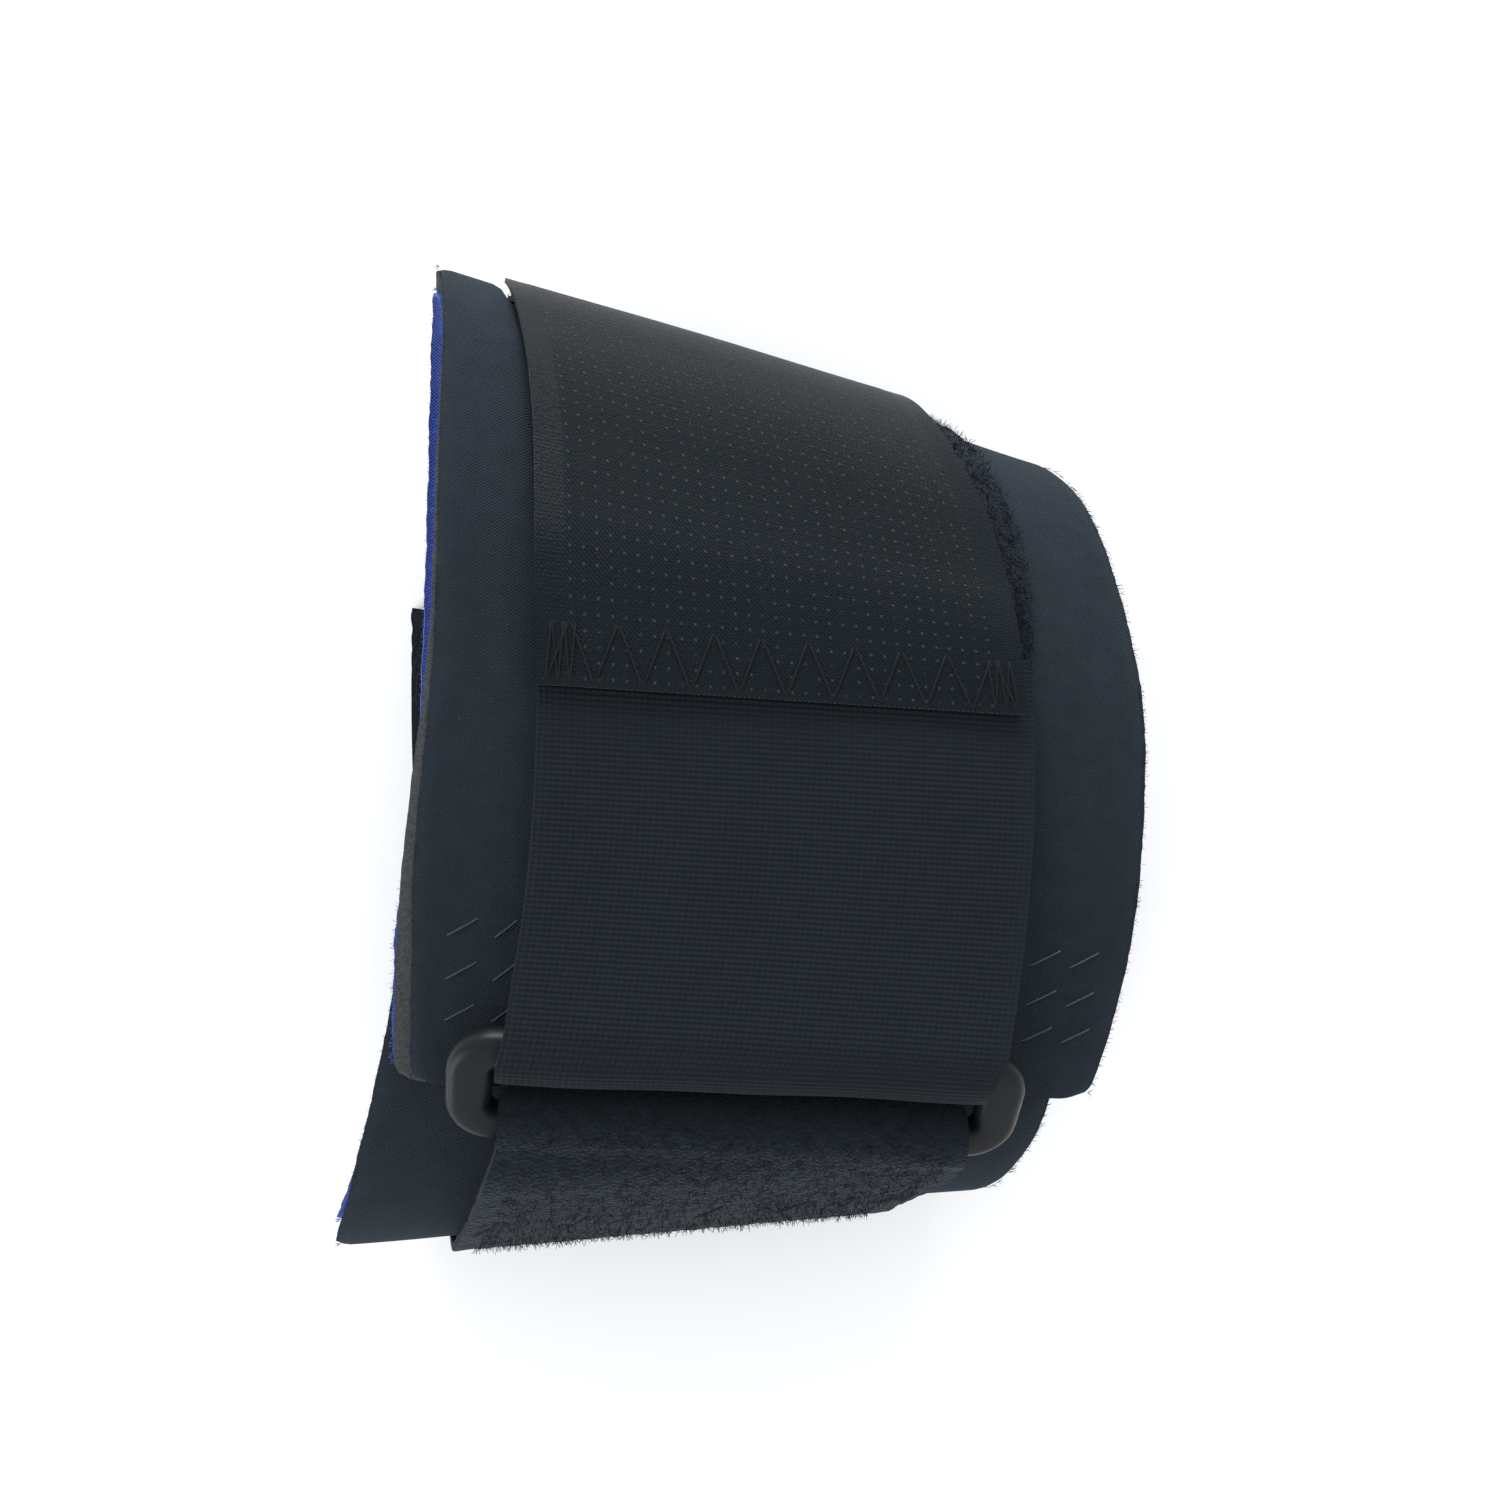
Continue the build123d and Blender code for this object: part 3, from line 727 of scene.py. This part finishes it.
# How far each layer stands out of the left cut edge: (mm from the outer end, mm)
FACE_OUT = [(0, -0.8), (14, -0.8), (22, -0.5), (45, -0.4), (75, -0.1), (110, 0)]
FOAM_OUT = [(0, 1.0), (14, 0.9), (22, 0.65), (30, 0.5), (45, 0.15), (75, 0.1), (110, -0.2)]
LINING_OUT = [(0, 1.65), (14, 1.5), (22, 0.8), (30, 0.4), (36, 0.55), (45, 0.4), (60, 0.5), (75, 0.45),
              (110, 0.0), (230, 0.1), (340, 0.2)]
face_run, foam_run = sheet_run(0), sheet_run(FACE + LAMINATE_GAP)
lining_run = sheet_run(SHEET - LINING)
cuff_face = sheet_layer("cuff_face", face_run, jersey, FACE, frayed(FACE_OUT, 0.08, 3))
cuff_foam = sheet_layer("cuff_foam", foam_run, foam_edge, FOAM, frayed(FOAM_OUT, 0.08, 5), rounding=0.25)
cuff_lining = sheet_layer("cuff_lining", lining_run, blue_lining, LINING, frayed(LINING_OUT, 0.16, 7))

# ---------------------------------------------------------------------------------------------------
# Ring: a flat loop cut from a plate, thickened and its edges rounded
deselect()
bpy.ops.mesh.primitive_plane_add(size=1)
bpy.ops.transform.resize(value=(RING_LENGTH * MM, RING_HEIGHT * MM, 1))
ring_loop = name_piece("ring_loop", ring_plastic)
bpy.ops.object.transform_apply(location=True, rotation=True, scale=True)
bpy.ops.object.mode_set(mode="EDIT")
bpy.ops.mesh.select_all(action="SELECT")
bpy.ops.mesh.bevel(offset=RING_CORNER * MM, segments=9, affect="VERTICES")
bpy.ops.mesh.select_all(action="SELECT")
bpy.ops.mesh.inset(thickness=RING_BAR * MM)
bpy.ops.transform.resize(value=((RING_LENGTH - 2 * RING_SIDE) / (RING_LENGTH - 2 * RING_BAR), 1, 1))
bpy.ops.mesh.delete(type="FACE")
bpy.ops.object.mode_set(mode="OBJECT")
finish_modifier(ring_loop, "SOLIDIFY", thickness=RING_THICKNESS * MM, offset=0)
finish_modifier(ring_loop, "BEVEL", width=RING_EDGE * MM, segments=5, limit_method="ANGLE",
                angle_limit=radians(60))
ring_frame = Matrix((ring_along, ring_up, ring_out)).transposed().to_4x4()
ring_loop.data.transform(Matrix.Translation((upper_bar + lower_bar) / 2 * MM) @ ring_frame)
smooth(ring_loop, 40)


# ---------------------------------------------------------------------------------------------------
# Elastic strap
def strap_lift(turn):
    return at_turn(STRAP_HEIGHT, turn) + ELASTIC


def elastic_relief(across, along):
    """Cross ribs, flattened towards the selvedges, on a barely wavy strap."""
    selvedge = np.clip(np.minimum(across, 2 * ELASTIC_HALF_WIDTH - across) / 1.2, 0, 1)
    ribs = RIB_DEPTH / 2 * np.sin(along * 2 * pi / RIB_PITCH) * selvedge
    return ribs + 0.10 * np.sin(across / 8 + along / 13) + 0.06 * np.sin(across / 3.1 - along / 9)


fold_lines = [round_bar(upper_bar, angle, FOLD_BORE + ELASTIC, ELASTIC_HALF_WIDTH)
              for angle in range(258, 95, -18)]
strap_lines = [on_cuff(t, STRAP_LEFT, STRAP_RIGHT, strap_lift, STRAP_SKEW)
               for t in (387, 383, 377, 369, 360, 351, 343)]
elastic_run = Run(fold_lines + strap_lines)
elastic_strap = cloth("elastic_run", elastic_run, elastic_ribs, ELASTIC - 0.1,
                      (44, int(elastic_run.length / RIB_PITCH * 6)), elastic_relief)

anchor_lines = [on_cuff(t, STRAP_LEFT, STRAP_RIGHT, lambda turn: SEWN_GAP + ELASTIC)
                for t in (366, 372, 378, 384)]
under_fold = round_bar(upper_bar, 262, FOLD_BORE, ELASTIC_HALF_WIDTH)
anchor_run = Run(anchor_lines + [(under_fold[0], under_fold[1], -under_fold[2])])
elastic_start = cloth("elastic_start", anchor_run, elastic_ribs, ELASTIC - 0.1,
                      (30, int(anchor_run.length / RIB_PITCH * 5)), elastic_relief)


# ---------------------------------------------------------------------------------------------------
# Hook tape and its hooks
def tape_lift(turn):
    return at_turn(TAPE_HEIGHT, turn) + TAPE


tape_turns = [351, 346, 340, 334, 328, 320, 312, 304, 296, 288, 280, 272, 264, 256, 250]
tape_run = Run([on_cuff(t, STRAP_LEFT, STRAP_RIGHT, tape_lift, STRAP_SKEW, (0, TAPE_NARROWER), True)
                for t in tape_turns], tape_turns)
tape_left_length, tape_right_length = tape_run.place_of(TAPE_LEFT_END), tape_run.place_of(TAPE_RIGHT_END)


def tape_relief(across, along):
    """Flat selvedges, a slightly raised woven field and very fine weft ribs."""
    inside = np.clip((np.minimum(across, tape_run.width - across) - 2.2) / 0.6, 0, 1)
    return 0.05 * inside + 0.006 * np.sin(along * 2 * pi / 0.8) + 0.08 * np.sin(across / 7 + along / 11)


hook_tape = cloth("hook_tape", tape_run, tape_weave, TAPE - 0.1, (100, 300), tape_relief)
# The far end is cut square: everything past the cut line is bisected away.
cut_left = tape_run.points(np.array([0.0]), np.array([tape_left_length]), np.zeros(1))[0]
cut_right = tape_run.points(np.array([1.0]), np.array([tape_right_length]), np.zeros(1))[0]
cut_out = outward((TAPE_LEFT_END + TAPE_RIGHT_END) / 2, 0)
cut_normal = Vector(cut_right - cut_left).cross(cut_out).normalized()
if cut_normal.z > 0:
    cut_normal.negate()

choose(hook_tape)
bpy.ops.object.mode_set(mode="EDIT")
bpy.ops.mesh.select_all(action="SELECT")
bpy.ops.mesh.bisect(plane_co=Vector(cut_left) * MM, plane_no=cut_normal, use_fill=True, clear_outer=True)
bpy.ops.object.mode_set(mode="OBJECT")


def hook_field(first, last):
    """Rows of hooks between two distances along the tape, inside its selvedges and before the cut."""
    width = tape_run.width
    across = np.arange(HOOK_MARGIN + 0.3, width - HOOK_MARGIN, HOOK_PITCHES[0])
    along = np.arange(first, last, HOOK_PITCHES[1])
    grid_across, grid_along = (g.ravel() for g in np.meshgrid(across, along))
    share = grid_across / width
    limit = tape_left_length + (tape_right_length - tape_left_length) * share - 1.2
    kept = grid_along < limit
    return share[kept], grid_along[kept]


hook_share, hook_place = hook_field(tape_run.place_of(334), tape_run.length)
hook_rows = hooks("hook_rows", tape_run, hook_share, hook_place, -TAPE + 0.08, HOOK_HEIGHT)

# ---------------------------------------------------------------------------------------------------
# Pile patch and pile webbing, each with its brushed loops
patch_turns = [345, 338, 330, 321, 312, 303, 294, 285, 276, 267, 258, 249, 240]
patch_run = Run([on_cuff(t, PATCH_LEFT, PATCH_RIGHT, lambda turn: SEWN_GAP + 0.6, STRAP_SKEW, (0, 0), True)
                 for t in patch_turns], patch_turns)


def pile_relief(across, along):
    """Low matted lumps."""
    return (0.045 * np.sin(across * 2.1 + 1.5 * np.sin(along * 1.3))
            + 0.04 * np.sin(along * 2.4 + 1.2 * np.sin(across * 1.7)))


pile_patch = cloth("pile_patch_cloth", patch_run, brushed_pile, PATCH_BACKING, (120, 110), pile_relief)


def webbing_lift(turn):
    return at_turn(WEBBING_HEIGHT, turn) + WEBBING


main_turns = [198, 189, 180, 171, 162, 153, 144, 135, 126, 117, 108, 99, 90, 82, 75, 68, 61, 54,
              WEBBING_FOLD_TURN]
main_lines = [on_cuff(t, WEBBING_LEFT, WEBBING_RIGHT, webbing_lift, WEBBING_SKEW) for t in main_turns]
webbing_bar = [round_bar(lower_bar, angle, FOLD_BORE + WEBBING, ELASTIC_HALF_WIDTH - 0.5)
               for angle in range(100, -90, -18)]
return_lines = [
    (left, right, -out)
    for left, right, out in (
        on_cuff(t, WEBBING_LEFT, WEBBING_RIGHT, lambda turn: overlap_lift(turn) + 0.12, None, (0.5, 0.5))
        for t in (53, 59, 65, 71)
    )
]
webbing_run = Run(main_lines + webbing_bar + return_lines, main_turns)
webbing_cloth = cloth("webbing_cloth", webbing_run, brushed_pile, WEBBING - 0.25, (100, 420), pile_relief)

# ---------------------------------------------------------------------------------------------------
# Brushed loops and frayed edges
dice = np.random.default_rng(11)


def scatter(count, share_range, place_range):
    return dice.uniform(*share_range, count), dice.uniform(*place_range, count)


def brushed(name, run, fields, seed):
    """Short loops standing all ways on a pile cloth: fields are (count, shares, places)."""
    shares, places = (np.concatenate(parts) for parts in zip(*(scatter(*field) for field in fields)))
    count = len(shares)
    lean = np.tile([0.0, 0.0, 0.8], (count, 1))
    return fibres(name, run, shares, places, dice.uniform(0.35, 0.95, count), np.full(count, -0.1), lean,
                  seed, black_fibre)


patch_loops = brushed("patch_loops", patch_run, [
    (1700, (0.93, 1.01), (0, patch_run.length)),
    (700, (-0.01, 0.05), (0, patch_run.length)),
], 21)
fold_start = webbing_run.place_of(WEBBING_FOLD_TURN)
webbing_loops = brushed("webbing_loops", webbing_run, [
    (4200, (0.045, 0.955), (webbing_run.place_of(100), fold_start)),
    (3000, (0.045, 0.955), (0.5, webbing_run.place_of(100))),
    (900, (0.045, 0.955), (fold_start, fold_start + 6)),
], 22)


def frayed_edge(name, run, count, side, lengths, material, seed, drop, out=((0, 0),)):
    """Loose ends standing out of a cut edge: side is -1 for the left edge and 1 for the right.

    out holds (mm along, mm) for how far the edge itself stands out.
    """
    places = dice.uniform(0.3, run.length - 0.3, count)
    past_edge = np.interp(places, *zip(*out)) / run.width - 0.004
    shares = np.full(count, 0.0 if side < 0 else 1.0) + side * past_edge
    lean = np.tile([1.5 * side, 0.0, 0.1], (count, 1))
    return fibres(name, run, shares, places, dice.uniform(*lengths, count), np.full(count, -drop), lean,
                  seed, material)


lining_frays = frayed_edge("lining_frays", lining_run, 1500, -1, (0.15, 0.7), blue_fibre, 23, LINING / 2,
                           LINING_OUT)
lining_frays_right = frayed_edge("lining_frays_right", lining_run, 900, 1, (0.2, 0.6), blue_fibre, 24,
                                 LINING / 2)
face_frays = frayed_edge("face_frays", face_run, 1300, 1, (0.2, 0.7), black_fibre, 25, FACE / 2)
face_frays_left = frayed_edge("face_frays_left", face_run, 900, -1, (0.15, 0.5), black_fibre, 26,
                               FACE / 2, FACE_OUT)


# ---------------------------------------------------------------------------------------------------
# Stitching
def at(run, share, place, lift, relief):
    """A point on a cloth, and the direction out of it there."""
    share, place = np.array([share]), np.array([place])
    here = run.points(share, place, relief(share * run.width, place) + lift)[0]
    return Vector(here), Vector(run.frame_at(share, place)[3][0])


def zigzag(run, marks, relief, rises):
    """A stroke of thread between each pair of (share, place) marks; the two ways rise by their own."""
    courses = []
    for rise, first, last in zip(rises * len(marks), marks, marks[1:]):
        start, out = at(run, *first, 0, relief)
        end, other_out = at(run, *last, 0, relief)
        courses.append(stroke(start, end, (out + other_out).normalized(), rise))
    return courses


def seam(name, run, turn, margin, half_height, relief, rises, material):
    """A zigzag row across a strip, doubled back for a few strokes at both ends."""
    low, high = margin / run.width, 1 - margin / run.width
    step = (high - low) / SEAM_STROKES
    rows = (
        [low + step * i for i in range(SEAM_STROKES + 1)],
        [low + step / 4 * i for i in range(PACKED_MARKS)],
        [high - step / 4 * i for i in range(PACKED_MARKS)],
    )
    middle = run.place_of(turn)
    courses = []
    for shares in rows:
        marks = [(share, middle + (half_height if i % 2 else -half_height)) for i, share in enumerate(shares)]
        courses += zigzag(run, marks, relief, rises)
    return threads(name, courses, ZIGZAG_THREAD / 2, material)


tape_zigzag = seam("tape_zigzag", tape_run, TAPE_SEAM_TURN, 0.9, TAPE_SEAM_HALF_HEIGHT, tape_relief,
                   (0.07, 0.03), tape_thread)
webbing_zigzag = seam("webbing_zigzag", webbing_run, WEBBING_SEAM_TURN, 1.0, WEBBING_SEAM_HALF_HEIGHT,
                      pile_relief, (0, 0), black_fibre)

anchor_courses = []
for middle, half_width in ANCHOR_COLUMNS:
    marks = []
    for i in range(ANCHOR_STROKES + 1):
        turn = ANCHOR_TURNS[0] + (ANCHOR_TURNS[1] - ANCHOR_TURNS[0]) * i / ANCHOR_STROKES
        left, right, _ = on_cuff(turn, SHEET_LEFT, SHEET_RIGHT, overlap_lift, SHEET_SKEW)
        x = middle - 0.06 * (turn - 380) + (half_width if i % 2 else -half_width) - MIDDLE_X
        marks.append(((x - left.x) / (right.x - left.x), face_run.place_of(turn)))
    anchor_courses += zigzag(face_run, marks, sheet_relief(face_run), (-0.2, 0.05))
anchor_zigzag = threads("anchor_zigzag", anchor_courses, ANCHOR_THREAD / 2, body_thread)

# ---------------------------------------------------------------------------------------------------
# Which body each piece goes with, and which CAD node it stands for
for piece, slot, nodes in (
    (cuff_face, "face_jersey", ["face_fabric"]),
    (cuff_foam, "foam", ["foam_core"]),
    (cuff_lining, "blue_lining", ["lining_fabric"]),
    (pile_patch, "pile", ["pile_patch"]),
    (patch_loops, "pile", []),
    (webbing_cloth, "pile", ["webbing", "webbing_fold", "webbing_return"]),
    (webbing_loops, "pile", []),
    (lining_frays, "blue_lining", []),
    (lining_frays_right, "blue_lining", []),
    (face_frays, "face_jersey", []),
    (face_frays_left, "face_jersey", []),
    (webbing_zigzag, "thread", ["webbing_stitches"]),
    (anchor_zigzag, "thread", ["anchor_stitches"]),
):
    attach(piece, "wrap")
    if nodes:
        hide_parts(*nodes)

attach(ring_loop, "ring")
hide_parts("ring")

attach(tape_zigzag, "strap_front")
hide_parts("tape_stitches")

bend_start = upper_bar * MM
bend_end = Vector(strap_lines[1][0] + strap_lines[1][1]) / 2 * MM
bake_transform(elastic_strap)
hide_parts("elastic_strap", "elastic_fold")

sewn_end = Vector(anchor_lines[2][0] + anchor_lines[2][1]) / 2 * MM
Vector(under_fold[0] + under_fold[1]) / 2 * MM
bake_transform(elastic_start)
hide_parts("elastic_anchor")

peel = tape_run.place_of(TAPE_HINGE)
peel_before, peel_after = (at(tape_run, 0.5, peel + step, 0, tape_relief)[0] * MM for step in (-3, 3))
for piece, slot, nodes in (
    (hook_tape, "hook_tape", ["hook_tape_front", "hook_tape_tail"]),
    (hook_rows, "hooks", ["hooks_front", "hooks_tail"]),
):
    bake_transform(piece)
    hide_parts(*nodes)

# ---------------------------------------------------------------------------------------------------
# Floor, lights and camera
deselect()
bpy.ops.mesh.primitive_plane_add(size=6)
pale_floor = plain_finish("pale_floor", colour(0.92, 0.92, 0.925), 0.9, Specular_IOR_Level=0.1)
floor = name_piece("floor", pale_floor)

world = bpy.data.worlds.new("studio")
bpy.context.scene.world = world
world.use_nodes = True
sky = world.node_tree.nodes["Background"].inputs
sky["Color"].default_value = colour(0.96, 0.98, 1.0)
sky["Strength"].default_value = 1.06


def soft_light(name, place, size, power):
    """A square lamp aimed at the object."""
    lamp = bpy.data.lights.new(name, "AREA")
    lamp.size, lamp.energy = size, power
    holder = bpy.data.objects.new(name, lamp)
    holder.location = place
    holder.rotation_euler = (Vector((0, 0, 0.02)) - Vector(place)).to_track_quat("-Z", "Y").to_euler()
    bpy.context.collection.objects.link(holder)


soft_light("key", (0.0, 0.9, 0.2), 0.6, 13)
soft_light("fill", (-0.7, -0.5, 0.35), 0.6, 4)

camera = bpy.data.objects.new("camera", bpy.data.cameras.new("camera"))
camera.data.sensor_width, camera.data.lens = CAMERA_SENSOR, CAMERA_LENS
camera.data.clip_start = 0.005
camera.location = (-MIDDLE_X * MM, -MIDDLE_Y * MM, CAMERA_HEIGHT)
bpy.context.collection.objects.link(camera)
bpy.context.scene.camera = camera
bpy.context.scene.view_settings.view_transform = "Standard"
